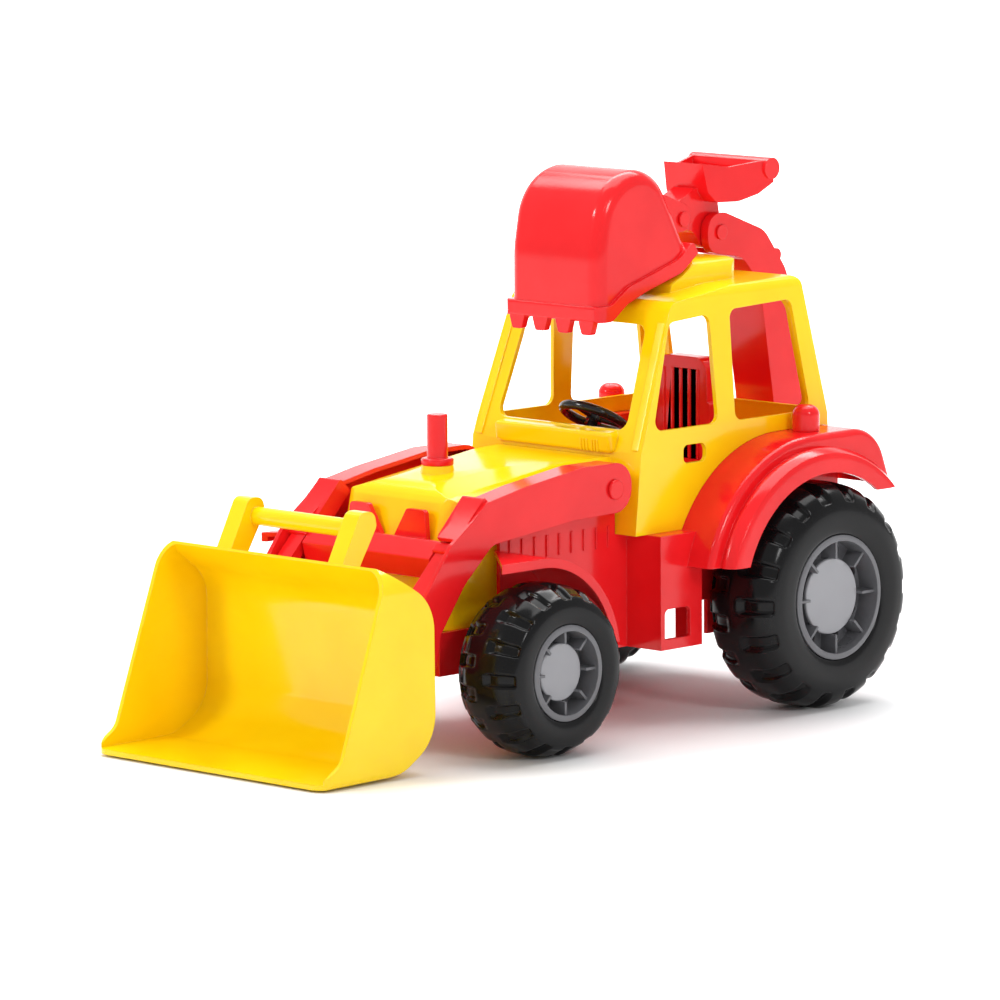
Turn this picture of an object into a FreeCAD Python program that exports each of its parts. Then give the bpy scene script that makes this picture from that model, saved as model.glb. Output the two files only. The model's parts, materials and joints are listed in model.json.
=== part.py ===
"""Toy backhoe loader: front loader, open cab and a rear digging arm folded over the roof.

Millimetres. +Z is up, -Y is forward, +X is the driver's left. Ground is Z = 0.
The functions work from the rear axle (Y = 0); parts are moved so that Y = 0 is mid-length.
"""
import FreeCAD
import Part
import math
import os

V = FreeCAD.Vector

# ---- driving dimensions -------------------------------------------------------------
FRONT_END = -354.0          # loader bucket lip, from the rear axle
REAR_END = 80.0             # digger bracket, from the rear axle
SHIFT_Y = -(FRONT_END + REAR_END) / 2

REAR_R = 59.0               # tyre radii, axle heights
FRONT_R = 43.7
FRONT_AXLE_Y = -203.0
TRACK_HALF = 104.0          # outer face of every tyre
REAR_TYRE_W = 46.0
FRONT_TYRE_W = 42.0
TYRE_WALL = 2.8
REAR_RIM_R = 31.0
FRONT_RIM_R = 22.8
RIM_WALL = 1.6
AXLE_R = 3.0
RUN_GAP = 0.06              # radial clearance of every running fit
HUB_BORE_WALL = 5.0
SPOKES = 8
HUB_DISH = 12.0             # how deep the web sits behind the outer rim
CAP_SHARE = 0.64            # hub cap radius over rim radius

WALL = 2.4                  # moulded wall
FRAME_HALF = 46.0           # chassis flank, outside
FRAME_LOW = 39.0
HOOD_HALF = 41.0
HOOD_LOW = 61.0
HOOD_FRONT_LOW = -234.0
PIPE_Y = -190.8             # exhaust pipe
CAB_HALF = 60.0
CAB_TOP_HALF = 55.5
CAB_LOW = 98.0
CAB_FRONT_Y = -108.0
SILL_Z = 150.5
ROOF_REAR_Z = 221.6
ARCH_R = 83.0               # rear mudguard, about the rear axle
ARCH_IN = 50.0              # its inner wall
ARCH_STEP = 86.0            # crest of the mudguard
ARCH_OUT = 96.0             # outer lip
LIP_TOP_R = 76.0
LIP_LOW_R = 64.2
GUARD_FRONT_Z = 80.5        # lower ends of the rear mudguard
GUARD_REAR_Z = 110.5
FRONT_GUARD_R = 55.8        # front mudguard, about the front axle
FRONT_GUARD_OUT = 86.0
FRONT_LIP = 4.8
STEP_FRONT_Y = -96.0
STEP_OUT = 70.0
STEP_NEAR_Y, STEP_FAR_Y = -100.0, -69.0

LIFT_Y, LIFT_Z = -124.0, 124.0      # loader arm pivot
TILT_Y, TILT_Z = -263.0, 52.0       # loader bucket pivot
ARM_IN, ARM_OUT = 46.6, 60.5
EYE_IN = 53.4                        # inner face of the arm's lower eye
RAM_IN = 43.7                        # moulded rams in the front of the arms
LOADER_PIN_R = 3.0
BUCKET_HALF = 82.0
BUCKET_WALL = 2.4

BOOM_Y, BOOM_Z = 62.0, 112.0        # boom foot pivot
ELBOW_Y, ELBOW_Z = 7.5, 242.3       # boom to stick pivot
CURL_Y, CURL_Z = -20.0, 251.0       # stick to digging bucket pivot
BOOM_HALF = 13.5
CHEEK_IN = 8.4
NECK_HALF = 7.8
DIG_PIN_R = 2.4
SCOOP_HALF = 32.0
SCREW_R = 1.55
SCREWS = [(x, z) for x in (-24, 24) for z in (66, 89)]
GRIP_Y, GRIP_Z, GRIP_R = 31.5, 275.0, 5.7
GRIP_HALF = 28.0
WHEEL_Y, WHEEL_Z = -75.0, 151.0     # steering wheel centre
WHEEL_RING_R = 17.0
WHEEL_TUBE_R = 2.5
COLUMN_TILT = 29.0
COLUMN_R = 2.6
STEM_LENGTH = 42.0


# ---- small geometry helpers -----------------------------------------------------------
def place(axis, a, b, level):
    """A point from two in-plane coordinates and the level along the axis."""
    if axis == "x":
        return V(level, a, b)
    if axis == "y":
        return V(a, level, b)
    return V(a, b, level)


def outline(corners, axis, level):
    """A closed wire through the corners; a third number rounds that corner."""
    count = len(corners)
    joints = []
    for i in range(count):
        corner = corners[i]
        here = place(axis, corner[0], corner[1], level)
        radius = corner[2] if len(corner) > 2 else 0.0
        if radius <= 0:
            joints.append((here, None, here))
            continue
        before = place(axis, *corners[i - 1][:2], level)
        after = place(axis, *corners[(i + 1) % count][:2], level)
        u = (before - here).normalize()
        w = (after - here).normalize()
        half = u.getAngle(w) / 2
        reach = radius / math.tan(half)
        bisector = (u + w).normalize()
        centre = here + bisector * (radius / math.sin(half))
        joints.append((here + u * reach, centre - bisector * radius, here + w * reach))
    edges = []
    for i in range(count):
        start, middle, end = joints[i]
        if middle is not None:
            edges.append(Part.Arc(start, middle, end).toShape())
        following = joints[(i + 1) % count][0]
        if end.distanceToPoint(following) > 1e-6:
            edges.append(Part.makeLine(end, following))
    return Part.Wire(edges)


def prism(corners, axis, low, high):
    """The outline swept along an axis from low to high."""
    face = Part.Face(outline(corners, axis, low))
    return face.extrude(place(axis, 0, 0, high - low))


def rod(axis, a, b, radius, low, high):
    """A round bar along an axis."""
    return Part.makeCylinder(radius, high - low, place(axis, a, b, low), place(axis, 0, 0, 1))


def block(x0, x1, y0, y1, z0, z1):
    return Part.makeBox(x1 - x0, y1 - y0, z1 - z0, V(x0, y0, z0))


def mirrored(shape):
    """The same piece on the other side of the toy."""
    return shape.mirror(V(0, 0, 0), V(1, 0, 0))


def both(shape):
    return [shape, mirrored(shape)]


def fuse(shapes):
    return shapes[0].multiFuse(shapes[1:]).removeSplitter()


def cut(body, tools):
    return body.cut(tools)


def inset(corners, axis, low, high, wall):
    """A prism one wall smaller all round than the outline."""
    face = Part.Face(outline(corners, axis, low)).makeOffset2D(-wall)
    return face.extrude(place(axis, 0, 0, high - low))


def round_edges(shape, radius, wanted):
    """Rounds each edge for which wanted(edge) is true."""
    edges = [e for e in shape.Edges if wanted(e)]
    return shape.makeFillet(radius, edges)


# ---- wheels -----------------------------------------------------------------------------
def ring_x(profile, y, z):
    """A closed (x, r) profile turned about the axle line through y, z."""
    points = [V(x, y, z + r) for x, r in profile]
    face = Part.Face(Part.makePolygon(points + points[:1]))
    return face.revolve(V(0, y, z), V(1, 0, 0), 360)


def tyre(y, radius, width, rim_r):
    """A hollow tyre shell, open towards the hub."""
    inner = TRACK_HALF - width
    mid = (TRACK_HALF + inner) / 2
    bead = rim_r + 1.5
    shoulder = radius - 7
    tread = width / 2 - 7
    wall = TYRE_WALL
    outside = [(TRACK_HALF - 1.0, bead), (TRACK_HALF, bead + 3), (TRACK_HALF, shoulder),
               (mid + tread, radius), (mid - tread, radius), (inner, shoulder),
               (inner, bead + 3), (inner + 1.0, bead)]
    inside = [(inner + wall + 1, bead), (inner + wall, bead + 3), (inner + wall, shoulder - 1),
              (mid - tread + 1, radius - wall), (mid + tread - 1, radius - wall),
              (TRACK_HALF - wall, shoulder - 1), (TRACK_HALF - wall, bead + 3),
              (TRACK_HALF - wall - 1, bead)]
    return ring_x(outside + inside, y, radius)


def hub(y, z, rim_r, width):
    """A spoked hub: barrel under the tyre, dished web with thin spokes, cap seat and a boss on the axle."""
    outer = TRACK_HALF - 0.4
    inner = TRACK_HALF - width + 1.4
    web = outer - HUB_DISH
    bead = rim_r + 1.45
    rim_in = rim_r - RIM_WALL
    boss_r = AXLE_R + HUB_BORE_WALL
    seat_r = 0.62 * rim_r
    seat_x = web + 3.9
    profile = [(inner + 2, AXLE_R), (inner + 2, boss_r), (web - 3, boss_r), (web - 3, rim_in), (inner, rim_in),
               (inner, bead), (outer - 0.6, bead), (outer, rim_r), (outer, rim_in), (web - 1, rim_in),
               (web - 1, seat_r), (seat_x, seat_r), (seat_x, seat_r - 2), (web - 1, seat_r - 2), (web - 1, AXLE_R)]
    body = ring_x(profile, y, z)
    spoke = block(web - 2, outer - 2.5, y - 0.7, y + 0.7, z + seat_r - 1, z + rim_r - RIM_WALL / 2)
    spokes = [spoke.rotated(V(0, y, z), V(1, 0, 0), i * 360 / SPOKES) for i in range(SPOKES)]
    hole = rod("x", y, z + (seat_r + rim_in) / 2, (rim_in - seat_r) / 2 - 1.0, web - 5, web + 1)
    holes = [hole.rotated(V(0, y, z), V(1, 0, 0), (i + 0.5) * 360 / SPOKES) for i in range(SPOKES)]
    cap_room = rod("x", y, z, CAP_SHARE * rim_r + 0.1, seat_x + 0.05, outer + 1)
    return cut(fuse([body] + spokes), holes + [cap_room])


def hub_cap(y, z, rim_r):
    """The pale round cap that covers the end of the axle."""
    face = TRACK_HALF - 0.4 - HUB_DISH + 4
    cap_r = CAP_SHARE * rim_r
    disc = rod("x", y, z, cap_r, face, face + 2.0)
    disc = round_edges(disc, 0.8, lambda e: e.BoundBox.XMin > face + 1.9)
    plug_r = 0.62 * rim_r - 2
    plug = rod("x", y, z, plug_r, face - 3, face).cut(rod("x", y, z, plug_r - 1.4, face - 3, face - 0.1))
    return fuse([disc, plug])


def axle(y, z):
    end = TRACK_HALF - 0.4 - HUB_DISH - 1
    return rod("x", y, z, AXLE_R, -end, end)


# ---- chassis ------------------------------------------------------------------------------
def column_rod(radius, near, far):
    """A bar on the steering column's line, measured from the wheel centre down the column."""
    tilt = math.radians(COLUMN_TILT)
    down = V(0, -math.sin(tilt), -math.cos(tilt))
    return Part.makeCylinder(radius, far - near, V(0, WHEEL_Y, WHEEL_Z) + down * near, down)


def arc_sector(radius_in, radius_out, x0, x1, y, z, start, stop):
    """Part of a ring about an axle line, angles from +Y towards +Z."""
    def at(radius, angle):
        turn = math.radians(angle)
        return V(x0, y + radius * math.cos(turn), z + radius * math.sin(turn))
    middle = (start + stop) / 2
    wire = Part.Wire([
        Part.Arc(at(radius_out, start), at(radius_out, middle), at(radius_out, stop)).toShape(),
        Part.makeLine(at(radius_out, stop), at(radius_in, stop)),
        Part.Arc(at(radius_in, stop), at(radius_in, middle), at(radius_in, start)).toShape(),
        Part.makeLine(at(radius_in, start), at(radius_out, start))])
    return Part.Face(wire).extrude(V(x1 - x0, 0, 0))


def arch_side(grow=0.0):
    """Side view of the rear mudguard's crown: round in front, squarer behind."""
    top = REAR_R + ARCH_R + grow
    return [(-ARCH_R - grow, 40), (-ARCH_R - grow, top, ARCH_R + grow), (49.5 + grow, top, 24 + grow),
            (70.6 + grow, 86.5), (70.6 + grow, 40)]


def rear_guard():
    """Left rear mudguard: crown with a rounded crest, groove and rolled outer lip."""
    crown = prism(arch_side(), "x", ARCH_IN, ARCH_STEP)
    crown = round_edges(crown, 3.5, lambda e: e.BoundBox.XMin > ARCH_STEP - 0.1 and e.BoundBox.ZMax > 87)
    room = prism(arch_side(-WALL), "x", ARCH_IN - 1, ARCH_STEP - WALL)
    wheel_room = rod("x", 0, REAR_R, LIP_TOP_R - WALL, ARCH_IN - 1, ARCH_STEP + 1)
    crown = cut(crown, [room, wheel_room])
    profile = [(ARCH_STEP - WALL, LIP_TOP_R), (ARCH_STEP + 1.5, LIP_TOP_R), (ARCH_STEP + 2.5, LIP_TOP_R + 0.9),
               (ARCH_OUT - 4.5, LIP_TOP_R + 0.6), (ARCH_OUT - 1.2, LIP_TOP_R - 1.8), (ARCH_OUT, LIP_TOP_R - 5.5),
               (ARCH_OUT, LIP_LOW_R), (ARCH_OUT - WALL, LIP_LOW_R), (ARCH_OUT - WALL, LIP_TOP_R - 5.5),
               (ARCH_OUT - 5, LIP_TOP_R - WALL), (ARCH_STEP - WALL, LIP_TOP_R - WALL)]
    lip = ring_x(profile, 0, REAR_R)
    keep = [block(40, 100, -90, 0, GUARD_FRONT_Z, 150), block(40, 100, 0, 70, GUARD_REAR_Z, 150)]
    return crown.fuse(lip).common(keep[0].fuse(keep[1]))


def rear_flank():
    """Left inner wall of the rear wheel arch, down to the frame, open beside the step."""
    wall = prism(arch_side(), "x", ARCH_IN, ARCH_IN + WALL)
    keep = block(ARCH_IN, ARCH_IN + WALL, STEP_FRONT_Y, 56, FRAME_LOW, REAR_R + ARCH_R + 1)
    return wall.common(keep)


def front_guard():
    """Left front mudguard, flat ahead of the axle, its front corner cut off slantwise."""
    arc = arc_sector(FRONT_GUARD_R - WALL, FRONT_GUARD_R, FRAME_HALF - 1, FRONT_GUARD_OUT,
                     FRONT_AXLE_Y, FRONT_R, 8, 92)
    lip = arc_sector(FRONT_GUARD_R - FRONT_LIP, FRONT_GUARD_R, FRONT_GUARD_OUT - WALL, FRONT_GUARD_OUT,
                     FRONT_AXLE_Y, FRONT_R, 8, 92)
    top = FRONT_R + FRONT_GUARD_R
    flat = block(FRAME_HALF - 1, FRONT_GUARD_OUT, -236, FRONT_AXLE_Y, top - WALL, top)
    edge = block(FRONT_GUARD_OUT - WALL, FRONT_GUARD_OUT, -236, FRONT_AXLE_Y, top - FRONT_LIP, top)
    keep = prism([(40, -192), (FRAME_HALF, -197), (90, -236), (90, -130), (40, -130)], "z", 40, 110)
    return fuse([arc, lip, flat, edge]).common(keep)


def front_flank():
    """Left ribbed side panel beside the hood, with the ear that carries the loader arm."""
    panel = prism([(-193, FRAME_LOW), (STEP_FRONT_Y + WALL, FRAME_LOW), (STEP_FRONT_Y + WALL, CAB_LOW),
                   (CAB_FRONT_Y - 0.6, CAB_LOW), (CAB_FRONT_Y - 0.6, 122), (LIFT_Y + 12, 122),
                   (LIFT_Y + 12, LIFT_Z + 9, 8), (LIFT_Y - 12, LIFT_Z + 9, 8),
                   (LIFT_Y - 16, 114), (-193, 112, 4)],
                  "x", FRAME_HALF - WALL, FRAME_HALF)
    ribs = [block(FRAME_HALF - 0.5, FRAME_HALF + 0.8, y - 0.6, y + 0.6, 92, 103)
            for y in range(-186, -112, 9)]
    boss = rod("x", LIFT_Y, LIFT_Z, 8.0, HOOD_HALF + 0.3, ARM_IN - 0.3)
    return fuse([panel, boss] + ribs)


def side_step():
    """Left boarding step: a skirt with a stirrup below it, open towards the frame."""
    skirt = block(FRAME_HALF - WALL, STEP_OUT, STEP_NEAR_Y, STEP_FAR_Y, FRAME_LOW, CAB_LOW)
    room = block(FRAME_HALF - WALL - 1, STEP_OUT - WALL, STEP_NEAR_Y + WALL, STEP_FAR_Y - WALL,
                 FRAME_LOW + WALL, CAB_LOW - WALL)
    window = prism([(STEP_NEAR_Y + 3.0, 44.5, 1), (STEP_FAR_Y - 9, 44.5, 1), (STEP_FAR_Y - 9, 60, 3),
                    (STEP_NEAR_Y + 3.0, 60, 3)], "x", STEP_OUT - WALL - 1, STEP_OUT + 1)
    below = block(FRAME_HALF - WALL - 1, STEP_OUT - 9, STEP_NEAR_Y + WALL, STEP_FAR_Y - WALL,
                  FRAME_LOW - 1, FRAME_LOW + WALL + 1)
    return cut(skirt, [room, window, below])


def chassis():
    """Red lower moulding: frame, deck, mudguards and steps."""
    nose = block(-FRAME_HALF + WALL, FRAME_HALF - WALL, HOOD_FRONT_LOW, -190, FRAME_LOW, HOOD_LOW)
    nose_hollow = block(-HOOD_HALF, HOOD_HALF, HOOD_FRONT_LOW + WALL, -189, FRAME_LOW + WALL, HOOD_LOW + 1)
    pan = block(-FRAME_HALF + WALL, FRAME_HALF - WALL, -191, STEP_FRONT_Y, FRAME_LOW, FRAME_LOW + WALL)
    bulkhead = block(-ARCH_IN - WALL, ARCH_IN + WALL, STEP_FRONT_Y, STEP_FRONT_Y + WALL,
                     FRAME_LOW, CAB_LOW)
    deck = block(-ARCH_IN - WALL, ARCH_IN + WALL, STEP_FRONT_Y, 56, CAB_LOW - WALL, CAB_LOW)
    tail = block(-ARCH_IN - WALL, ARCH_IN + WALL, 56 - WALL, 56, FRAME_LOW, CAB_LOW)
    console = block(-11, 11, -102, -79, CAB_LOW - WALL, 127)
    pieces = [cut(nose, [nose_hollow]), pan, bulkhead, deck, tail, console]
    for side in (rear_guard(), rear_flank(), front_guard(), front_flank(), side_step()):
        pieces += both(side)
    bearing_front = rod("x", FRONT_AXLE_Y, FRONT_R, 7.5, HOOD_HALF, FRAME_HALF + 6)
    bearing_rear = rod("x", 0, REAR_R, 8.5, ARCH_IN - 4, ARCH_IN + WALL + 3)
    pieces += both(bearing_front) + both(bearing_rear)
    shell = fuse(pieces)
    bores = [rod("x", FRONT_AXLE_Y, FRONT_R, AXLE_R + RUN_GAP, -70, 70),
             rod("x", 0, REAR_R, AXLE_R + RUN_GAP, -70, 70)]
    for side in (1, -1):
        low = min(side * HOOD_HALF, side * ARM_IN)
        high = max(side * HOOD_HALF, side * ARM_IN)
        bores.append(rod("x", LIFT_Y, LIFT_Z, LOADER_PIN_R, low, high))
    bores.append(column_rod(COLUMN_R + RUN_GAP, 24, STEM_LENGTH + 0.5))
    bores += [rod("y", x, z, SCREW_R, 49, 57) for x, z in SCREWS]
    bores += both(block(FRAME_HALF - WALL - 1, ARCH_IN + WALL + 1, STEP_NEAR_Y + WALL, -46, FRAME_LOW - 1, 58))
    return cut(shell, bores)


# ---- yellow body ----------------------------------------------------------------------------
CAB_SIDE = [(CAB_FRONT_Y, CAB_LOW), (-104, 140), (-77, 214.5, 8), (-30, 220.3), (22.5, ROOF_REAR_Z, 5),
            (39, 148), (42, CAB_LOW)]
CAB_FACE = [(-CAB_HALF, CAB_LOW), (-CAB_HALF, SILL_Z), (-CAB_TOP_HALF, ROOF_REAR_Z, 6),
            (CAB_TOP_HALF, ROOF_REAR_Z, 6), (CAB_HALF, SILL_Z), (CAB_HALF, CAB_LOW)]
CROWN_SIDE = [(-57, 212), (-54.5, 221, 3), (-46, 224.6, 12), (-31.5, 232.6, 9), (-5, 232.2, 10), (3.5, 225, 7),
              (4, 212)]
CROWN_FRONT = [(-35.5, 200), (-35.5, 232.6, 9), (35.5, 232.6, 9), (35.5, 200)]
CROWN_PLAN = [(-35.5, -57), (35.5, -57), (35.5, 4, 17), (-35.5, 4, 17)]


def cab():
    """Open cab: pillars, roof with a raised crown, lower walls, all one wall thick."""
    outer = prism(CAB_SIDE, "x", -70, 70).common(prism(CAB_FACE, "y", -120, 60))
    inner = inset(CAB_SIDE, "x", -70, 70, WALL).common(inset(CAB_FACE, "y", -120, 60, WALL))
    lowered = inner.translated(V(0, 0, -WALL - 1))
    front_side_window = [(-94.5, SILL_Z, 5), (-45.5, SILL_Z, 5), (-48.8, 207.0, 5), (-79.0, 205.0, 5)]
    rear_side_window = [(-32.5, SILL_Z, 5), (25.5, SILL_Z, 5), (14.3, 209.8, 5), (-33.2, 208.2, 5)]
    windshield = [(-46, SILL_Z, 6), (46, SILL_Z, 6), (42.5, 203, 6), (-42.5, 203, 6)]
    rear_window = [(-46, SILL_Z, 6), (46, SILL_Z, 6), (43.5, 208, 6), (-43.5, 208, 6)]
    hand_hole = [(-72, 132, 3), (-55, 132, 3), (-55, 141.5, 4), (-72, 141.5, 3)]
    arch = prism(arch_side(0.1), "x", ARCH_IN - 1, 90)
    tools = [inner, lowered, prism(front_side_window, "x", -70, 70), prism(rear_side_window, "x", -70, 70),
             prism(hand_hole, "x", -70, 70), prism(windshield, "y", -125, -60), prism(rear_window, "y", 10, 60)]
    tools += both(arch)
    shell = cut(outer, tools)
    crown = prism(CROWN_SIDE, "x", -40, 40).common(prism(CROWN_FRONT, "y", -60, 10))
    crown = crown.common(prism(CROWN_PLAN, "z", 200, 240))
    hidden = inset(CAB_SIDE, "x", -70, 70, 0.8)
    return shell.fuse(crown.cut(hidden))


def slanted(corners, axis, start, sweep):
    """The outline swept along a vector that leans away from the axis."""
    return Part.Face(outline(corners, axis, start)).extrude(V(*sweep))


def hood_block(wall):
    """The hood's bulk, one wall smaller all round: crowned across, rising to the rear, rounded in front."""
    half = HOOD_HALF - wall
    low = HOOD_LOW - (wall + 1 if wall else 0)
    side = prism([(HOOD_FRONT_LOW + wall, low), (-217.5 + wall, 131.5 - wall, 15 - wall),
                  (-190, 135.2 - wall, 60), (-103 - wall, 138.5 - wall), (-103 - wall, low)], "x", -50, 50)
    across = slanted([(-half, 40), (-half, 121.9 - wall, 10 - wall), (-14, 128.7 - wall, 60),
                      (14, 128.7 - wall, 60), (half, 121.9 - wall, 10 - wall), (half, 40)],
                     "y", -240, (0, 140, 17.2))
    above = slanted([(-half, -100), (-half, HOOD_FRONT_LOW + wall, 12 - wall),
                     (half, HOOD_FRONT_LOW + wall, 12 - wall), (half, -100)], "z", low, (0, 18, 76))
    return side.common(across).common(above)


def hood():
    """Hood over the front frame, open below."""
    pipe_boss = Part.makeCone(9.5, 8.0, 8, V(0, PIPE_Y, 130), V(0, 0, 1))
    inner = hood_block(WALL)
    return hood_block(0).fuse(pipe_boss).cut(inner)


def cowl():
    """Raised ledge below the windshield."""
    ledge = prism([(-100, SILL_Z - 0.5), (-100, 138.5), (-107, 139.2, 2), (-107.8, SILL_Z - 1.2, 2)],
                  "x", -41.5, 41.5)
    ledge = round_edges(ledge, 2.5, lambda e: e.BoundBox.YMax < -104 and e.BoundBox.XLength < 1)
    return ledge


def body_shell():
    """Yellow upper moulding: hood, cowl, cab and roof in one."""
    shell = fuse([cab(), hood(), cowl()])
    pipe_hole = rod("z", 0, PIPE_Y, 4.0, 125, 139)
    return shell.cut(pipe_hole)


def exhaust():
    """Red stack with a round foot flange and a spigot into the hood."""
    foot = Part.makeCylinder(8.3, 3.6, V(0, PIPE_Y, 138))
    foot = round_edges(foot, 1.2, lambda e: e.BoundBox.ZMin > 141)
    stack = Part.makeCylinder(5.3, 24, V(0, PIPE_Y, 140.0))
    stack = round_edges(stack, 0.9, lambda e: e.BoundBox.ZMin > 163)
    spigot = Part.makeCylinder(3.9, 8, V(0, PIPE_Y, 131))
    return fuse([foot, stack, spigot])


def rear_lamp():
    """Left domed lamp standing on the rear mudguard."""
    y, x = 11.5, 69.5
    base = REAR_R + ARCH_R - 3
    body = Part.makeCylinder(7.1, 16.8, V(x, y, base))
    body = round_edges(body, 5.5, lambda e: e.BoundBox.ZMin > base + 16)
    guard = prism(arch_side(0.05), "x", ARCH_IN, 95)
    return body.cut(guard)


def seat():
    """Bucket seat with a ribbed back."""
    base = prism([(-38, CAB_LOW + 0.1), (-38, 118, 5), (0, 116), (0, CAB_LOW + 0.1)], "x", -20, 20)
    back = prism([(-20.5, 112), (-20.5, 153.5, 1.5), (-18.5, 154.5), (-18, 177.6, 9), (18, 177.6, 9),
                  (18.5, 154.5), (20.5, 153.5, 1.5), (20.5, 112)], "y", -9, 1)
    ribs = [block(x - 0.8, x + 0.8, -9.8, -8, 124, 171) for x in range(-12, 13, 6)]
    return fuse([base, back] + ribs)


def steering_wheel():
    """Black rim, three spokes and the stem, turning in the console."""
    rim = Part.makeTorus(WHEEL_RING_R, WHEEL_TUBE_R, V(0, 0, 0), V(0, 0, 1))
    spoke = rod("x", 0, 0, 1.5, 0, WHEEL_RING_R)
    spokes = [spoke.rotated(V(0, 0, 0), V(0, 0, 1), 30 + 120 * i) for i in range(3)]
    boss = Part.makeCylinder(4.2, 4, V(0, 0, -2))
    stem = Part.makeCylinder(COLUMN_R, STEM_LENGTH, V(0, 0, -STEM_LENGTH))
    wheel = fuse([rim, boss, stem] + spokes)
    wheel = wheel.rotated(V(0, 0, 0), V(1, 0, 0), -COLUMN_TILT)
    return wheel.translated(V(0, WHEEL_Y, WHEEL_Z))


# ---- front loader ------------------------------------------------------------------------------
ARM_SIDE = [(-111.5, 137.5, 12), (-111.5, 112, 12), (-153, 111.3), (-213, 105, 12), (-233, 87, 30), (-250, 64),
            (-254.5, 43.5, 8), (-271, 43.5, 8), (-267, 73), (-260.5, 84), (-242, 107.8, 10), (-226, 119, 12),
            (-217.3, 126.6, 3), (-190, 131.8), (-148, 137.5)]


def ram(near, far, low, high, thick):
    """A moulded bar along the front of the arm, between two (y, z) ends."""
    y0, z0 = near
    y1, z1 = far
    length = math.hypot(y1 - y0, z1 - z0)
    ny, nz = (z1 - z0) / length * thick, -(y1 - y0) / length * thick
    corners = [(y0 + ny, z0 + nz, 1.5), (y1 + ny, z1 + nz, 1.5), (y1 - ny, z1 - nz, 1.5), (y0 - ny, z0 - nz, 1.5)]
    return prism(corners, "x", low, high)


def loader_arm():
    """Left arm: a plate with walls towards the hood, a moulded ram and two eyes."""
    web = ARM_OUT - WALL
    arm = prism(ARM_SIDE, "x", ARM_IN, ARM_OUT)
    pocket = inset(ARM_SIDE, "x", ARM_IN - 1, web, WALL)
    open_front = prism([(-241, 114), (-233, 103), (-250, 84), (-262, 66), (-262, 40), (-280, 40), (-280, 90)],
                       "x", ARM_IN - 1, web)
    ear_room = block(ARM_IN - 1, EYE_IN, -276, -248, 40, 66)
    arm = cut(arm, [pocket, open_front, ear_room])
    lower_eye = prism([(-249.5, 64), (-254.5, 43.5, 8), (-271, 43.5, 8), (-268, 66)], "x", EYE_IN, web + 1)
    upper_eye = rod("x", LIFT_Y, LIFT_Z, 7.5, ARM_IN, web + 1)
    barrel = ram((-213.2, 126.0), (-231.8, 106.8), RAM_IN, web + 0.5, 5.0)
    collar = ram((-233.2, 105.6), (-237.8, 100.8), RAM_IN + 1.2, web + 0.5, 4.2)
    piston = ram((-231, 107.2), (-259.5, 78.5), 46.5, 56.5, 2.9)
    backing = ram((-230, 107), (-258, 79), 55.5, web + 0.5, 2.2)
    return fuse([arm, lower_eye, upper_eye, barrel, collar, piston, backing])


def loader_frame():
    """Red loader arms with their cross-beam and stops, in one piece."""
    beam = prism([(-234.6, 107.7, 1), (-243, 99.7, 1), (-240.5, 88.5, 1), (-227, 96), (-225.2, 102, 1),
                  (-224.4, 106.2, 1)],
                 "x", -RAM_IN - 1.5, RAM_IN + 1.5)
    below = prism([(-233, 104), (-239, 97), (-237.5, 85), (-224, 93), (-227.5, 104)],
                  "x", -RAM_IN + 1.5, RAM_IN - 1.5)
    beam = beam.cut(below)
    stop = prism([(3.6, 104.5), (13.8, 120.8, 2.5), (26.7, 120.8, 2.5), (28, 104.5)], "y", -227, -224.2)
    frame = fuse(both(loader_arm()) + [beam] + both(stop))
    bores = both(rod("x", LIFT_Y, LIFT_Z, LOADER_PIN_R + RUN_GAP, RAM_IN - 3, ARM_OUT + 1))
    bores += both(rod("x", TILT_Y, TILT_Z, LOADER_PIN_R, RAM_IN - 3, ARM_OUT + 1))
    return cut(frame, bores)


BUCKET_SIDE = [(FRONT_END, 1.2), (-300, 2.2, 30), (-275.6, 17, 24), (-275.6, 84.5, 24), (-307, 104.6),
               (-340, 13, 10), (FRONT_END, 4.0)]


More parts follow.
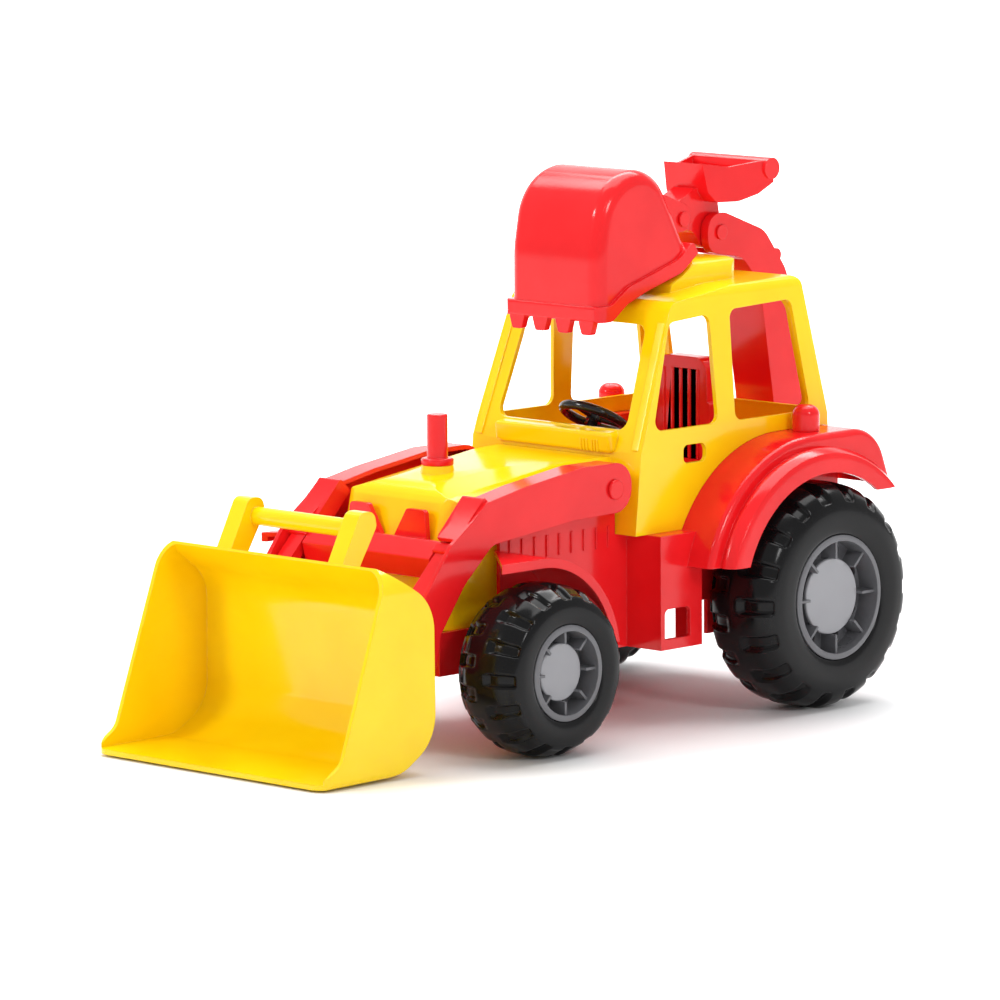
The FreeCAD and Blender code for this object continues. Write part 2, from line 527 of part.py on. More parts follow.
def loader_bucket():
    """Yellow loader bucket: curved back, side cheeks, lip, handle and hinge ears."""
    shape = prism(BUCKET_SIDE, "x", -BUCKET_HALF, BUCKET_HALF)
    face_low, face_high = 0.5, 106
    front_view = [(-BUCKET_HALF, face_low, 4), (BUCKET_HALF, face_low, 4), (BUCKET_HALF - 1, face_high, 15),
                  (-BUCKET_HALF + 1, face_high, 15)]
    above = [(-BUCKET_HALF, FRONT_END, 9), (BUCKET_HALF, FRONT_END, 9), (BUCKET_HALF, -260), (-BUCKET_HALF, -260)]
    shape = shape.common(prism(front_view, "y", -360, -270)).common(prism(above, "z", -5, 130))
    wall = BUCKET_WALL
    hollow_side = [(FRONT_END - 20, 3.6), (-300, 2.2 + wall, 27.6), (-275.6 - wall, 18, 21.6),
                   (-275.6 - wall, 83, 21.6), (-305, 101.6), (-320, 112), (-390, 60)]
    hollow_view = [(-BUCKET_HALF + wall, face_low, 3), (BUCKET_HALF - wall, face_low, 3),
                   (BUCKET_HALF - wall - 1, face_high - wall, 12.6), (-BUCKET_HALF + wall + 1, face_high - wall, 12.6)]
    hollow = prism(hollow_side, "x", -90, 90).common(prism(hollow_view, "y", -400, -270))
    shell = shape.cut(hollow)
    leg = prism([(-305, 99), (-294, 96), (-279, 120, 4), (-280.5, 127.8, 5), (-290, 127.8, 5)], "x", 34.5, 45)
    leg = leg.cut(hollow)
    bar = rod("x", -284.6, 118.4, 4.7, -36, 36)
    ear = prism([(-278, 40), (TILT_Y + 7.5, 44, 7), (TILT_Y + 7.5, 60, 7), (-278, 66)], "x", ARM_IN + 0.6, EYE_IN - 0.5)
    ear = ear.cut(prism(BUCKET_SIDE, "x", -90, 90))
    bucket = fuse([shell, bar] + both(leg) + both(ear))
    return cut(bucket, both(rod("x", TILT_Y, TILT_Z, LOADER_PIN_R + RUN_GAP, ARM_IN, EYE_IN)))


def loader_pins(y, z, inner, outer):
    """A pair of headed pins, one each side."""
    shaft = rod("x", y, z, LOADER_PIN_R, inner, outer)
    head = rod("x", y, z, LOADER_PIN_R + 2.2, outer, outer + 1.6)
    head = round_edges(head, 1.0, lambda e: e.BoundBox.XMin > outer + 1.5)
    pin = shaft.fuse(head)
    return Part.makeCompound(both(pin))


# ---- rear digger ----------------------------------------------------------------------------------
def digger_bracket():
    """Red bracket on the tail with two ears for the boom foot."""
    plate = block(-30, 30, 56.05, 59.5, 58, 97)
    ear = prism([(59, 62), (78, 76, 6), (BOOM_Y + 10.5, BOOM_Z + 10.5, 9), (BOOM_Y - 9.5, BOOM_Z + 10.5, 9),
                 (BOOM_Y - 9.5, CAB_LOW + 1), (59, CAB_LOW + 1)], "x", BOOM_HALF + 0.6, BOOM_HALF + 5.6)
    bracket = fuse([plate] + both(ear))
    stop = block(-BOOM_HALF - 1, BOOM_HALF + 1, 59, REAR_END, 70, 73.5)
    bores = [rod("x", BOOM_Y, BOOM_Z, DIG_PIN_R, -40, 40)]
    bores += [rod("y", x, z, SCREW_R + 0.1, 50, 62) for x, z in SCREWS]
    return cut(fuse([bracket, stop]), bores)


BOOM_SIDE = [(BOOM_Y - 10.5, BOOM_Z - 10.5, 9), (BOOM_Y + 10.5, BOOM_Z - 10.5, 9), (75, 160, 60),
             (58.5, 219, 24), (41.5, 241, 16), (ELBOW_Y + 3, 252.6, 10), (ELBOW_Y - 10, 252, 9),
             (ELBOW_Y - 10, 232.4, 8), (24, 228, 8), (38, 213, 14), (48.5, 150, 60)]


def boom():
    """Red banana-shaped boom, forked at the top, hollow from behind."""
    solid = prism(BOOM_SIDE, "x", -BOOM_HALF, BOOM_HALF)
    fork = prism([(ELBOW_Y - 14, 222), (ELBOW_Y + 14, 222, 4), (ELBOW_Y + 14, 260, 4), (ELBOW_Y - 14, 260)],
                 "x", -CHEEK_IN, CHEEK_IN)
    pocket = prism([(56, 128), (78, 128), (80, 165), (61, 216), (50, 210, 6), (58, 160, 50)],
                   "x", -BOOM_HALF + WALL, BOOM_HALF - WALL)
    nub = rod("x", 51.0, 227.0, 3.6, BOOM_HALF - 5, BOOM_HALF)
    shape = fuse([solid, nub, mirrored(nub)])
    pins = [rod("x", BOOM_Y, BOOM_Z, DIG_PIN_R + RUN_GAP, -20, 20),
            rod("x", ELBOW_Y, ELBOW_Z, DIG_PIN_R, -20, 20)]
    return cut(shape, [fork, pocket] + pins)


def stick():
    """Red stick: neck in the boom's fork, nose to the bucket, and a flared grip above."""
    neck = prism([(ELBOW_Y - 8.5, ELBOW_Z - 8.5, 8), (ELBOW_Y + 8.5, ELBOW_Z - 8.5, 8), (10.5, 262),
                  (-6, 266), (CURL_Y - 5.5, CURL_Z + 6, 5), (CURL_Y - 5.5, CURL_Z - 5.5, 5), (-8, CURL_Z - 7, 8)],
                 "x", -NECK_HALF + 0.2, NECK_HALF - 0.2)
    back = GRIP_Y + 2
    side = [(-7.2, 279), (-4, 264), (0.5, 258.5, 3), (13, 258.5, 14), (24, 262), (back, 268.5), (back, 279.5),
            (24, 279), (8, 276.8)]
    plan = [(-BOOM_HALF, -8), (BOOM_HALF, -8), (GRIP_HALF, GRIP_Y + 1), (-GRIP_HALF, GRIP_Y + 1)]
    trough = prism(side, "x", -40, 40).common(prism(plan, "z", 250, 285))
    wall_y = GRIP_Y - 4.5
    room = prism([(-7.2 + WALL, 285), (-3.4 + WALL, 264), (1.5 + WALL, 261, 2), (13, 261, 12), (23, 264.6),
                  (wall_y, 267.5), (wall_y, 285)], "x", -40, 40)
    plan_room = [(-BOOM_HALF + 2.2, -9), (BOOM_HALF - 2.2, -9), (GRIP_HALF - 2.2, GRIP_Y + 1),
                 (-GRIP_HALF + 2.2, GRIP_Y + 1)]
    trough = trough.cut(room.common(prism(plan_room, "z", 250, 290)))
    grip = rod("x", GRIP_Y, GRIP_Z, GRIP_R, -GRIP_HALF, GRIP_HALF)
    slots = [block(x - 3.2, x + 3.2, GRIP_Y - 7, GRIP_Y + 9, 268, 270.5) for x in range(-16, 17, 8)]
    shape = fuse([neck, trough, grip])
    pins = [rod("x", ELBOW_Y, ELBOW_Z, DIG_PIN_R + RUN_GAP, -20, 20), rod("x", CURL_Y, CURL_Z, DIG_PIN_R, -20, 20)]
    return cut(shape, slots + pins)


SCOOP_SIDE = [(-106.2, 209), (-106.2, 240, 60), (-99.6, 275.6, 30), (-61.8, 285.2, 24), (-36.8, 240),
              (-46.5, 230), (-70, 222.7), (-84, 218.5), (-98, 209)]
SCOOP_RIM = [(-107.5, 205.3, 1.5), (-97.5, 205.3, 8), (-86, 213.5, 14), (-72, 218.8, 30), (-45, 226.5, 18),
             (-32.3, 236, 1.5), (-36, 242, 1.5), (-47, 233.5, 15), (-70, 226.5, 30), (-84, 222.5, 14),
             (-98, 213.5, 8), (-107.5, 213.5, 1.5)]
SCOOP_MOUTH = [(-103.2, 190), (-103.2, 214), (-98, 216), (-84, 224), (-70, 228), (-48, 237), (-41.4, 242.5),
               (-35.5, 233), (-35.5, 190)]


def digging_bucket():
    """Red digging bucket: deep rounded shell, rolled rim, teeth and hinge ears."""
    shape = prism(SCOOP_SIDE, "x", -SCOOP_HALF, SCOOP_HALF)
    shape = round_edges(shape, 8, lambda e: e.BoundBox.XLength < 0.01
                        and (e.CenterOfMass.y < -105 or e.CenterOfMass.z > 237))
    room = inset(SCOOP_SIDE, "x", -SCOOP_HALF + 2.5, SCOOP_HALF - 2.5, 2.5)
    mouth = prism(SCOOP_MOUTH, "x", -SCOOP_HALF + 2.5, SCOOP_HALF - 2.5)
    outer = SCOOP_HALF + 2.2
    rim = prism(SCOOP_RIM, "x", -outer, outer)
    rim_plan = [(-outer, -108, 6), (outer, -108, 6), (outer, -20, 3), (-outer, -20, 3)]
    rim = rim.common(prism(rim_plan, "z", 190, 250))
    teeth = [prism([(x - 5.4, 207), (x - 4.9, 204), (x - 3.2, 198.7, 1.6), (x + 3.2, 198.7, 1.6),
                    (x + 4.9, 204), (x + 5.4, 207)], "y", -107.2, -103.4) for x in (-24.6, -8.2, 8.2, 24.6)]
    ear = prism([(-51, 262), (-38, 266, 4), (CURL_Y + 5.5, CURL_Z + 6.5, 6), (CURL_Y + 5.5, CURL_Z - 6, 6),
                 (-41, 243)], "x", NECK_HALF + 0.2, NECK_HALF + 4.2)
    bucket = fuse([shape, rim] + both(ear) + teeth).cut([room, mouth])
    return bucket.cut(rod("x", CURL_Y, CURL_Z, DIG_PIN_R + RUN_GAP, -20, 20))


def cross_pin(y, z, half):
    """A plain pin across the digger with two thin heads."""
    shaft = rod("x", y, z, DIG_PIN_R, -half, half)
    head = rod("x", y, z, DIG_PIN_R + 1.6, half, half + 1.2)
    return fuse([shaft] + both(head))


def bracket_screws():
    """Four self-tapping screws that hold the digger bracket to the tail."""
    screws = []
    for x, z in SCREWS:
        shank = rod("y", x, z, SCREW_R, 49.5, 59.5)
        head = rod("y", x, z, 3.0, 59.5, 61.3)
        screws.append(round_edges(shank.fuse(head), 0.7, lambda e: e.BoundBox.YMin > 61.2))
    return Part.makeCompound(screws)


# ---- the pieces ------------------------------------------------------------------------------------
def pieces():
    """Every separate piece of the toy by name."""
    parts = {
        "chassis": chassis(),
        "body_shell": body_shell(),
        "exhaust_pipe": exhaust(),
        "driver_seat": seat(),
        "steering_wheel": steering_wheel(),
        "rear_lamp_left": rear_lamp(),
        "rear_lamp_right": mirrored(rear_lamp()),
        "front_axle": axle(FRONT_AXLE_Y, FRONT_R),
        "rear_axle": axle(0, REAR_R),
        "loader_frame": loader_frame(),
        "loader_arm_pins": loader_pins(LIFT_Y, LIFT_Z, HOOD_HALF + 0.5, ARM_OUT + 0.3),
        "loader_bucket": loader_bucket(),
        "loader_bucket_pins": loader_pins(TILT_Y, TILT_Z, ARM_IN + 0.2, ARM_OUT),
        "digger_bracket": digger_bracket(),
        "bracket_screws": bracket_screws(),
        "digger_boom": boom(),
        "digger_stick": stick(),
        "digging_bucket": digging_bucket(),
        "boom_pin": cross_pin(BOOM_Y, BOOM_Z, BOOM_HALF + 5.6),
        "elbow_pin": cross_pin(ELBOW_Y, ELBOW_Z, BOOM_HALF),
        "digging_bucket_pin": cross_pin(CURL_Y, CURL_Z, NECK_HALF + 4.4),
    }
    for end, y, radius, width, rim in (("front", FRONT_AXLE_Y, FRONT_R, FRONT_TYRE_W, FRONT_RIM_R),
                                       ("rear", 0.0, REAR_R, REAR_TYRE_W, REAR_RIM_R)):
        wheel = {"tyre": tyre(y, radius, width, rim), "hub": hub(y, radius, rim, width),
                 "hub_cap": hub_cap(y, radius, rim)}
        for kind, shape in wheel.items():
            parts[f"{end}_{kind}_left"] = shape
            parts[f"{end}_{kind}_right"] = mirrored(shape)
    return parts


def main():
    os.makedirs("parts", exist_ok=True)
    for name, shape in pieces().items():
        moved = shape.translated(V(0, SHIFT_Y, 0))
        moved.exportStep(f"parts/{name}.step")
        box = moved.BoundBox
        print(f"{name:20s} solids {len(moved.Solids)} valid {moved.isValid()} volume {moved.Volume:9.0f} "
              f"x {box.XMin:.1f}..{box.XMax:.1f} y {box.YMin:.1f}..{box.YMax:.1f} z {box.ZMin:.1f}..{box.ZMax:.1f}")


main()
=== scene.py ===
"""Looks of the toy backhoe loader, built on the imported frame.

Metres. +X is the driver's left, -Y is forward, +Z is up, as in the frame.
"""
import json
import math

import bmesh
import bpy
from mathutils import Matrix, Vector


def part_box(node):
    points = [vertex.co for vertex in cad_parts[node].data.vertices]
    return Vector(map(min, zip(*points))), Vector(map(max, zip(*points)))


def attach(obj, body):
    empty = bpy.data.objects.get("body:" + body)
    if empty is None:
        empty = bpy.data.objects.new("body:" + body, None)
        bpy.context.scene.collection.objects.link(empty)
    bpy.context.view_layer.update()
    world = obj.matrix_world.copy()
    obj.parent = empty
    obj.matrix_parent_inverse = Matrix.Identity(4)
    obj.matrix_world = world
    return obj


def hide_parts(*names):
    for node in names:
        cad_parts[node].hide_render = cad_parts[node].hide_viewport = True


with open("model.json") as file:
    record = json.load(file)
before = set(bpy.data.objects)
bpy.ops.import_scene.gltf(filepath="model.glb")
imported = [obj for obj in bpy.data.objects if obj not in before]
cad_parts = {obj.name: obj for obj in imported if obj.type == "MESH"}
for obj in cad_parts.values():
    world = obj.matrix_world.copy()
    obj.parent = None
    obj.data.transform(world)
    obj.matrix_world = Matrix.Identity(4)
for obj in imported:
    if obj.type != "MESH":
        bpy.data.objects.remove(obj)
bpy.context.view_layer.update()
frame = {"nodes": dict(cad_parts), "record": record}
MM = 0.001
EDGE_HIGHLIGHT_RADIUS = 0.9 * MM      # how far the painted edge highlight and the rubbing reach in from an edge
SHADED_EDGE = 0.6 * MM      # edge radius that only the shading shows
BEVEL_SAMPLES = 4
FACET_ANGLE = 0.5           # degrees between CAD facets that are one face
SHARP_ANGLE = 32            # degrees above which an edge is rounded
FRONT_LUGS, REAR_LUGS = 16, 18
STEPS_PER_LUG = 22
RIB_PLACES = (20.8, 23.0, 25.2, 28.6, 30.6, 32.6)   # mm to the left of the cab's middle
CAMERA_PLACE = (2.47819, -2.54981, 0.60777)
CAMERA_TURN, CAMERA_RISE, CAMERA_ROLL = 44.28, 7.90, -0.307
CAMERA_LENS, CAMERA_SENSOR = 252, 36


# ---- materials ---------------------------------------------------------------------------
def node_tree(name):
    """A new material with its shader, ready for more nodes."""
    material = bpy.data.materials.new(name)
    material.use_nodes = True
    return material, material.node_tree.nodes, material.node_tree.links


def noise(nodes, links, where, scale, detail=3.0):
    """Cloudy noise over the piece, finer as the scale grows."""
    texture = nodes.new("ShaderNodeTexNoise")
    texture.inputs["Scale"].default_value = scale
    texture.inputs["Detail"].default_value = detail
    links.new(where, texture.inputs["Vector"])
    return texture.outputs["Fac"]


def spread(nodes, links, value, low, high, start=0.0, end=1.0):
    """Maps a value from start..end to low..high."""
    mapping = nodes.new("ShaderNodeMapRange")
    mapping.inputs["From Min"].default_value = start
    mapping.inputs["From Max"].default_value = end
    mapping.inputs["To Min"].default_value = low
    mapping.inputs["To Max"].default_value = high
    links.new(value, mapping.inputs["Value"])
    return mapping.outputs["Result"]


def blended(nodes, links, factor, first, second):
    """Mixes two colours, each a value or another node's output, by a factor."""
    mix = nodes.new("ShaderNodeMix")
    mix.data_type = "RGBA"
    links.new(factor, mix.inputs["Factor"])
    for socket, colour in ((mix.inputs[6], first), (mix.inputs[7], second)):
        if isinstance(colour, tuple):
            socket.default_value = (*colour, 1.0)
        else:
            links.new(colour, socket)
    return mix.outputs[2]


def edge_mask(nodes, links, radius):
    """High where the surface bends sharply within the radius."""
    rounded = nodes.new("ShaderNodeBevel")
    rounded.samples = BEVEL_SAMPLES
    rounded.inputs["Radius"].default_value = radius
    geometry = nodes.new("ShaderNodeNewGeometry")
    compare = nodes.new("ShaderNodeVectorMath")
    compare.operation = "DOT_PRODUCT"
    links.new(rounded.outputs["Normal"], compare.inputs[0])
    links.new(geometry.outputs["Normal"], compare.inputs[1])
    return spread(nodes, links, compare.outputs["Value"], 1.0, 0.0, 0.75, 1.0)


def moulded_plastic(name, colour, shade, highlight_and_worn, rough, level=0.5, waviness=0.12):
    """Injection-moulded plastic: cloudy colour, uneven gloss, fine skin, and edges painted lighter as a
    painted highlight and rubbing.
    """
    material, nodes, links = node_tree(name)
    shader = nodes["Principled BSDF"]
    where = nodes.new("ShaderNodeTexCoord").outputs["Object"]
    cloud = spread(nodes, links, noise(nodes, links, where, 24.0), 0.0, 1.0, 0.35, 0.7)
    tinted = blended(nodes, links, cloud, colour, shade)
    # edges painted lighter and broken up by noise: painted edge highlight and rubbing in one
    highlight_and_rubbing = nodes.new("ShaderNodeMath")
    highlight_and_rubbing.operation = "MULTIPLY"
    links.new(edge_mask(nodes, links, EDGE_HIGHLIGHT_RADIUS), highlight_and_rubbing.inputs[0])
    scuffs_and_glints = spread(nodes, links, noise(nodes, links, where, 160.0), 0.0, 0.8, 0.42, 0.75)
    links.new(scuffs_and_glints, highlight_and_rubbing.inputs[1])
    final_colour = blended(nodes, links, highlight_and_rubbing.outputs["Value"], tinted, highlight_and_worn)
    links.new(final_colour, shader.inputs["Base Color"])
    patches = noise(nodes, links, where, 45.0, 5.0)
    gloss = spread(nodes, links, patches, rough - 0.03, rough + 0.05, 0.3, 0.75)
    links.new(gloss, shader.inputs["Roughness"])
    skin = nodes.new("ShaderNodeBump")
    skin.inputs["Strength"].default_value = 0.2
    skin.inputs["Distance"].default_value = 0.02 * MM
    links.new(noise(nodes, links, where, 1100.0, 2.0), skin.inputs["Height"])
    waves = nodes.new("ShaderNodeBump")
    waves.inputs["Strength"].default_value = waviness
    waves.inputs["Distance"].default_value = 0.4 * MM
    links.new(noise(nodes, links, where, 38.0, 1.0), waves.inputs["Height"])
    rounded = nodes.new("ShaderNodeBevel")
    rounded.samples = BEVEL_SAMPLES
    rounded.inputs["Radius"].default_value = SHADED_EDGE
    links.new(rounded.outputs["Normal"], waves.inputs["Normal"])
    links.new(waves.outputs["Normal"], skin.inputs["Normal"])
    links.new(skin.outputs["Normal"], shader.inputs["Normal"])
    shader.inputs["IOR"].default_value = 1.49
    shader.inputs["Specular IOR Level"].default_value = level
    return material


def steel_material():
    """Bright drawn steel with an uneven polish."""
    material, nodes, links = node_tree("steel_rod")
    shader = nodes["Principled BSDF"]
    shader.inputs["Metallic"].default_value = 1.0
    shader.inputs["Base Color"].default_value = (0.56, 0.56, 0.58, 1.0)
    where = nodes.new("ShaderNodeTexCoord").outputs["Object"]
    polish = spread(nodes, links, noise(nodes, links, where, 300.0), 0.22, 0.42)
    links.new(polish, shader.inputs["Roughness"])
    return material


# the third colour of each plastic is its lighter edge colour: painted edge highlight and rubbing
MATERIALS = {
    "red_plastic": moulded_plastic("red_moulding", (0.86, 0.014, 0.018), (0.76, 0.008, 0.012),
                                   (0.92, 0.06, 0.06), 0.14, 0.38),
    "yellow_plastic": moulded_plastic("yellow_moulding", (1.0, 0.70, 0.004), (0.98, 0.64, 0.001),
                                      (1.0, 0.76, 0.10), 0.13, 0.42),
    "tyre_black": moulded_plastic("tyre_moulding", (0.0045, 0.0045, 0.005), (0.007, 0.007, 0.0075),
                                  (0.015, 0.015, 0.016), 0.16, 0.22, 0.2),
    "hub_grey": moulded_plastic("hub_moulding", (0.15, 0.15, 0.16), (0.12, 0.12, 0.13),
                                (0.34, 0.34, 0.36), 0.30, 0.4),
    "cap_grey": moulded_plastic("cap_moulding", (0.34, 0.34, 0.36), (0.30, 0.30, 0.32),
                                (0.42, 0.42, 0.44), 0.34, 0.4),
    "black_plastic": moulded_plastic("black_moulding", (0.006, 0.006, 0.007), (0.01, 0.01, 0.01),
                                     (0.03, 0.03, 0.03), 0.15),
    "steel": steel_material(),
}


def paint(obj, slot):
    """Gives a piece the one material of its slot."""
    obj.data.materials.clear()
    obj.data.materials.append(MATERIALS[slot])


def finish_cad_nodes():
    """Every carried-over CAD node takes the material of its slot."""
    for entry in frame["record"]["subparts"]:
        paint(frame["nodes"][entry["node"]], entry["material_slot"])


# ---- mesh helpers -------------------------------------------------------------------------
def make_object(name, bm, body, slot, *nodes):
    """Turns a bmesh into a piece that rides on a body and stands for the named CAD nodes."""
    mesh = bpy.data.meshes.new(name)
    bm.to_mesh(mesh)
    bm.free()
    mesh.shade_smooth()
    obj = bpy.data.objects.new(name, mesh)
    bpy.context.scene.collection.objects.link(obj)
    paint(obj, slot)
    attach(obj, body)
    if nodes:
        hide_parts(*nodes)
    return obj


def soften(obj, width, segments=2):
    """Rounds the sharp edges and keeps the flat faces flat."""
    bevel = obj.modifiers.new("edges", "BEVEL")
    bevel.width = width
    bevel.segments = segments
    bevel.limit_method = "ANGLE"
    bevel.angle_limit = math.radians(SHARP_ANGLE)
    bevel.miter_outer = "MITER_ARC"
    obj.modifiers.new("shading", "WEIGHTED_NORMAL").keep_sharp = True
    return obj


BODIES = frame["record"]["behaviour"]["bodies"]
BODY_OF = {node: body for body, nodes in BODIES.items() for node in nodes}
SLOT_OF = {entry["node"]: entry["material_slot"] for entry in frame["record"]["subparts"]}


def moulded(node, width=0.6 * MM, segments=2):
    """The CAD node again, with its facets merged and its edges rounded as they leave the mould."""
    bm = bmesh.new()
    bm.from_mesh(frame["nodes"][node].data)
    bmesh.ops.remove_doubles(bm, verts=bm.verts, dist=1e-6)
    bmesh.ops.dissolve_limit(bm, angle_limit=math.radians(FACET_ANGLE), verts=bm.verts, edges=bm.edges)
    obj = make_object(f"{node}_moulding", bm, BODY_OF[node], SLOT_OF[node], node)
    return soften(obj, width, segments)


def rounded_bars(name, bars, body, slot, width):
    """Moulded ribs and strips, each a bar between two points with its two half sizes across."""
    bm = bmesh.new()
    for start, end, half_across, half_deep in bars:
        along = end - start
        turn = along.to_track_quat("Z", "X").to_matrix()
        corners = ((-1, -1), (1, -1), (1, 1), (-1, 1))
        rings = []
        for base in (start, end):
            rings.append([bm.verts.new(base + turn @ Vector((x * half_across, y * half_deep, 0)))
                          for x, y in corners])
        bm.faces.new(rings[0][::-1])
        bm.faces.new(rings[1])
        for i in range(4):
            k = (i + 1) % 4
            bm.faces.new((rings[0][i], rings[0][k], rings[1][k], rings[1][i]))
    bmesh.ops.recalc_face_normals(bm, faces=bm.faces)
    return soften(make_object(name, bm, body, slot), width, 3)


def cab_trim():
    """Thin ribs of the hatch below the windshield and the raised strip on each windshield pillar."""
    low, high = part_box("body_shell")
    middle = (low.x + high.x) / 2

    def place(left, ahead, above):
        """A point given in mm from the moulding's middle, back end and lowest line."""
        return Vector((middle + left * MM, high.y - ahead * MM, low.z + above * MM))

    rib_half = 0.5 * MM
    bars = [(place(x, 149.1, 78.3), place(x, 149.6, 84.6), rib_half, rib_half) for x in RIB_PLACES]
    rounded_bars("hatch_ribs", bars, "tractor", "yellow_plastic", 0.25 * MM)
    for side in (-1, 1):
        foot = place(side * 55.6, 145.6, 80.0)
        head = place(side * 52.4, 122.0, 144.0)
        name = f"windshield_strip_{'left' if side > 0 else 'right'}"
        rounded_bars(name, [(foot, head, 0.8 * MM, 2.4 * MM)], "tractor", "yellow_plastic", 0.5 * MM)


# ---- wheels ---------------------------------------------------------------------------------
def smooth_step(low, high, value):
    """Eases from 0 to 1 as the value goes from low to high."""
    t = min(1.0, max(0.0, (value - low) / (high - low)))
    return t * t * (3 - 2 * t)


def rounded_path(corners, steps=5):
    """An open line of points that runs as a smooth curve through every corner."""
    points = []
    last = len(corners) - 1
    for i in range(last):
        before, here, after, beyond = (Vector(corners[min(max(i + k, 0), last)]) for k in (-1, 0, 1, 2))
        for step in range(steps):
            t = step / steps
            points.append(0.5 * ((2 * here) + (after - before) * t
                                 + (2 * before - 5 * here + 4 * after - beyond) * t * t
                                 + (3 * here - before - 3 * after + beyond) * t ** 3))
    points.append(Vector(corners[last]))
    return points


def turned(profile, centre, count, shift):
    """A closed (x, r) profile turned about the X line through the centre; shift moves each point."""
    bm = bmesh.new()
    rings = []
    for i in range(count):
        angle = 2 * math.pi * i / count
        ring = []
        for x, r in profile:
            r = shift(angle, x, r)
            y = centre.y + r * math.cos(angle)
            z = centre.z + r * math.sin(angle)
            ring.append(bm.verts.new((centre.x + x, y, z)))
        rings.append(ring)
    for i in range(count):
        this, following = rings[i], rings[(i + 1) % count]
        for j in range(len(profile)):
            k = (j + 1) % len(profile)
            bm.faces.new((this[j], this[k], following[k], following[j]))
    bmesh.ops.recalc_face_normals(bm, faces=bm.faces)
    return bm


def wheel_facts(end, side):
    """Where a wheel is and its main sizes, from its CAD pieces."""
    low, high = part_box(f"{end}_tyre_{side}")
    hub_low, hub_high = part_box(f"{end}_hub_{side}")
    sign = 1 if side == "left" else -1
    face = high.x if sign > 0 else -low.x
    return {
        "sign": sign,
        "face": face,
        "centre": Vector((0, (low.y + high.y) / 2, (low.z + high.z) / 2)),
        "radius": (high.z - low.z) / 2,
        "width": high.x - low.x,
        "rim": (hub_high.z - hub_low.z) / 2 - 1.45 * MM,
    }


def tyre(end, side, lugs):
    """A hollow moulded tyre: rounded sidewalls, and lugs that wrap over both shoulders."""
    facts = wheel_facts(end, side)
    sign, radius, half = facts["sign"], facts["radius"], facts["width"] / 2
    middle = facts["face"] - half
    bead = facts["rim"] + 1.2 * MM
    tall = radius - bead
    outside = [(half - 2.6 * MM, bead), (half - 0.9 * MM, bead + 0.06 * tall),
               (half - 0.2 * MM, bead + 0.3 * tall), (half - 0.3 * MM, bead + 0.5 * tall),
               (half - 1.5 * MM, bead + 0.7 * tall), (half - 4.6 * MM, radius - 4.2 * MM),
               (half - 10 * MM, radius - 1.2 * MM), (half * 0.25, radius - 0.16 * MM)]
    corners = outside + [(-x, r) for x, r in reversed(outside)]
    inner = [(-half + 5 * MM, bead + 0.3 * MM), (-half + 5 * MM, radius - 9 * MM),
             (half - 5 * MM, radius - 9 * MM), (half - 5 * MM, bead + 0.3 * MM)]
    profile = [(p.x, p.y) for p in rounded_path(corners)] + inner
    depth = 0.055 * radius

    def grooved(angle, x, r):
        """Cuts the grooves between the lugs, half a pitch apart on the two sides."""
        if r < bead + 0.55 * tall:
            return r
        turn = angle / (2 * math.pi) * lugs + (0.5 if x > 0 else 0.0)
        across = abs(turn - math.floor(turn) - 0.5)
        gap = 1 - smooth_step(0.15, 0.22, across)
        start = smooth_step(0.16 * half, 0.24 * half, abs(x))
        end_fade = smooth_step(bead + 0.66 * tall, bead + 0.76 * tall, r)
        return r - depth * gap * start * end_fade

    profile = [(sign * (middle + x), r) for x, r in profile]

    def shifted(angle, x, r):
        """The groove at a place given in the toy's own x."""
        return grooved(angle, sign * x - middle, r)

    bm = turned(profile, facts["centre"], lugs * STEPS_PER_LUG, shifted)
    node = f"{end}_tyre_{side}"
    return make_object(f"{node}_lugged", bm, f"{end}_wheels", "tyre_black", node)


def wheels():
    """All four wheels: new tyres, and the CAD hubs and caps with rounded edges."""
    for end, lugs in (("front", FRONT_LUGS), ("rear", REAR_LUGS)):
        for side in ("left", "right"):
            tyre(end, side, lugs)
            moulded(f"{end}_hub_{side}", 0.35 * MM)
            moulded(f"{end}_hub_cap_{side}", 0.5 * MM, 3)


# ---- set and camera -----------------------------------------------------------------------------
def floor_material():
    """Pale matt floor that gives off light away from the toy, so the background stays white."""
    material, nodes, links = node_tree("pale_floor")
    shader = nodes["Principled BSDF"]
    shader.inputs["Base Color"].default_value = (0.93, 0.93, 0.935, 1.0)
    shader.inputs["Roughness"].default_value = 0.55
    shader.inputs["Emission Color"].default_value = (1.0, 1.0, 1.0, 1.0)
    away = nodes.new("ShaderNodeVectorMath")
    away.operation = "LENGTH"
    links.new(nodes.new("ShaderNodeTexCoord").outputs["Object"], away.inputs[0])
    lit = spread(nodes, links, away.outputs["Value"], 0.0, 0.55, 0.8, 2.6)
    links.new(lit, shader.inputs["Emission Strength"])
    return material


def floor():
    """Floor that curves up into the backdrop, well beyond where any view stands."""
    width, near, far, rise, bend = 9.0, -8.0, 5.5, 6.0, 2.5
    steps = 24
    path = [(near, 0.0)]
    for i in range(steps + 1):
        a = math.pi / 2 * i / steps
        path.append((far + bend * math.sin(a), bend - bend * math.cos(a)))
    path.append((far + bend, rise))
    bm = bmesh.new()
    rows = [[bm.verts.new((x, y, z)) for x in (-width, width)] for y, z in path]
    for here, following in zip(rows, rows[1:]):
        bm.faces.new((here[0], here[1], following[1], following[0]))
    mesh = bpy.data.meshes.new("floor")
    bm.to_mesh(mesh)
    bm.free()
    mesh.shade_smooth()
    sheet = bpy.data.objects.new("floor", mesh)
    sheet.rotation_euler.z = math.radians(44)
    bpy.context.scene.collection.objects.link(sheet)
    mesh.materials.append(floor_material())


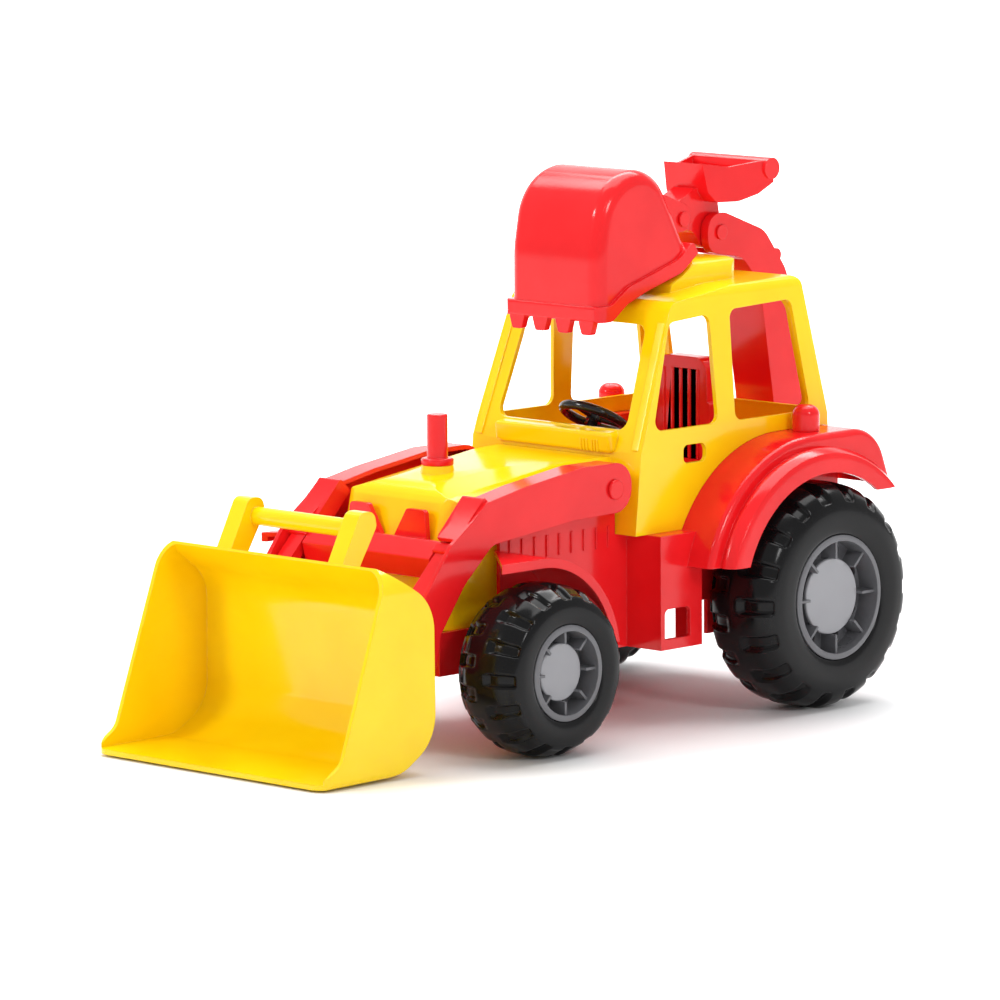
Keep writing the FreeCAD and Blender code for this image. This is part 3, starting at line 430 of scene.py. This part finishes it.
def lights():
    """Even white surroundings, a large light overhead, two small ones in front and one on the backdrop."""
    world = bpy.data.worlds.new("studio")
    world.use_nodes = True
    surroundings = world.node_tree.nodes["Background"]
    surroundings.inputs["Color"].default_value = (1.0, 1.0, 1.0, 1.0)
    surroundings.inputs["Strength"].default_value = 0.56
    bpy.context.scene.world = world
    for name, place, aim, size, power in (
            ("overhead", (-0.3, 0.5, 1.8), (-0.1, 0.1, 0.1), 1.8, 34.0),
            ("front_left", (-0.9, -2.3, 1.5), (0, 0, 0.1), 0.5, 21.0),
            ("camera_side", (2.3, -0.5, 1.4), (0, 0, 0.12), 0.5, 13.0),
            ("backdrop_wash", (-1.2, 1.2, 2.3), (-2.5, 2.5, 0.0), 2.4, 90.0)):
        data = bpy.data.lights.new(name, "AREA")
        data.size = size
        data.energy = power
        light = bpy.data.objects.new(name, data)
        light.location = place
        light.rotation_euler = (Vector(aim) - Vector(place)).to_track_quat("-Z", "Y").to_euler()
        bpy.context.scene.collection.objects.link(light)
    bpy.context.scene.view_settings.view_transform = "Standard"


def camera():
    """The viewing angle: from the toy's front left, a little above it, through a long lens."""
    turn, rise, roll = (math.radians(a) for a in (CAMERA_TURN, CAMERA_RISE, CAMERA_ROLL))
    back = Vector((math.sin(turn) * math.cos(rise), -math.cos(turn) * math.cos(rise), math.sin(rise)))
    across = Vector((math.cos(turn), math.sin(turn), 0))
    up = back.cross(across)
    right = math.cos(roll) * across + math.sin(roll) * up
    top = math.cos(roll) * up - math.sin(roll) * across
    data = bpy.data.cameras.new("view")
    data.sensor_width = CAMERA_SENSOR
    data.lens = CAMERA_LENS
    data.clip_end = 50
    eye = bpy.data.objects.new("view", data)
    eye.matrix_world = Matrix.Translation(CAMERA_PLACE) @ Matrix((right, top, back)).transposed().to_4x4()
    bpy.context.scene.collection.objects.link(eye)
    bpy.context.scene.camera = eye


finish_cad_nodes()
floor()
lights()
camera()
wheels()
for name in ("chassis", "loader_frame", "digger_boom", "digger_stick", "digging_bucket",
             "driver_seat", "exhaust_pipe", "digger_bracket"):
    moulded(name)
moulded("body_shell", 0.9 * MM, 3)
moulded("loader_bucket", 1.0 * MM, 3)
cab_trim()
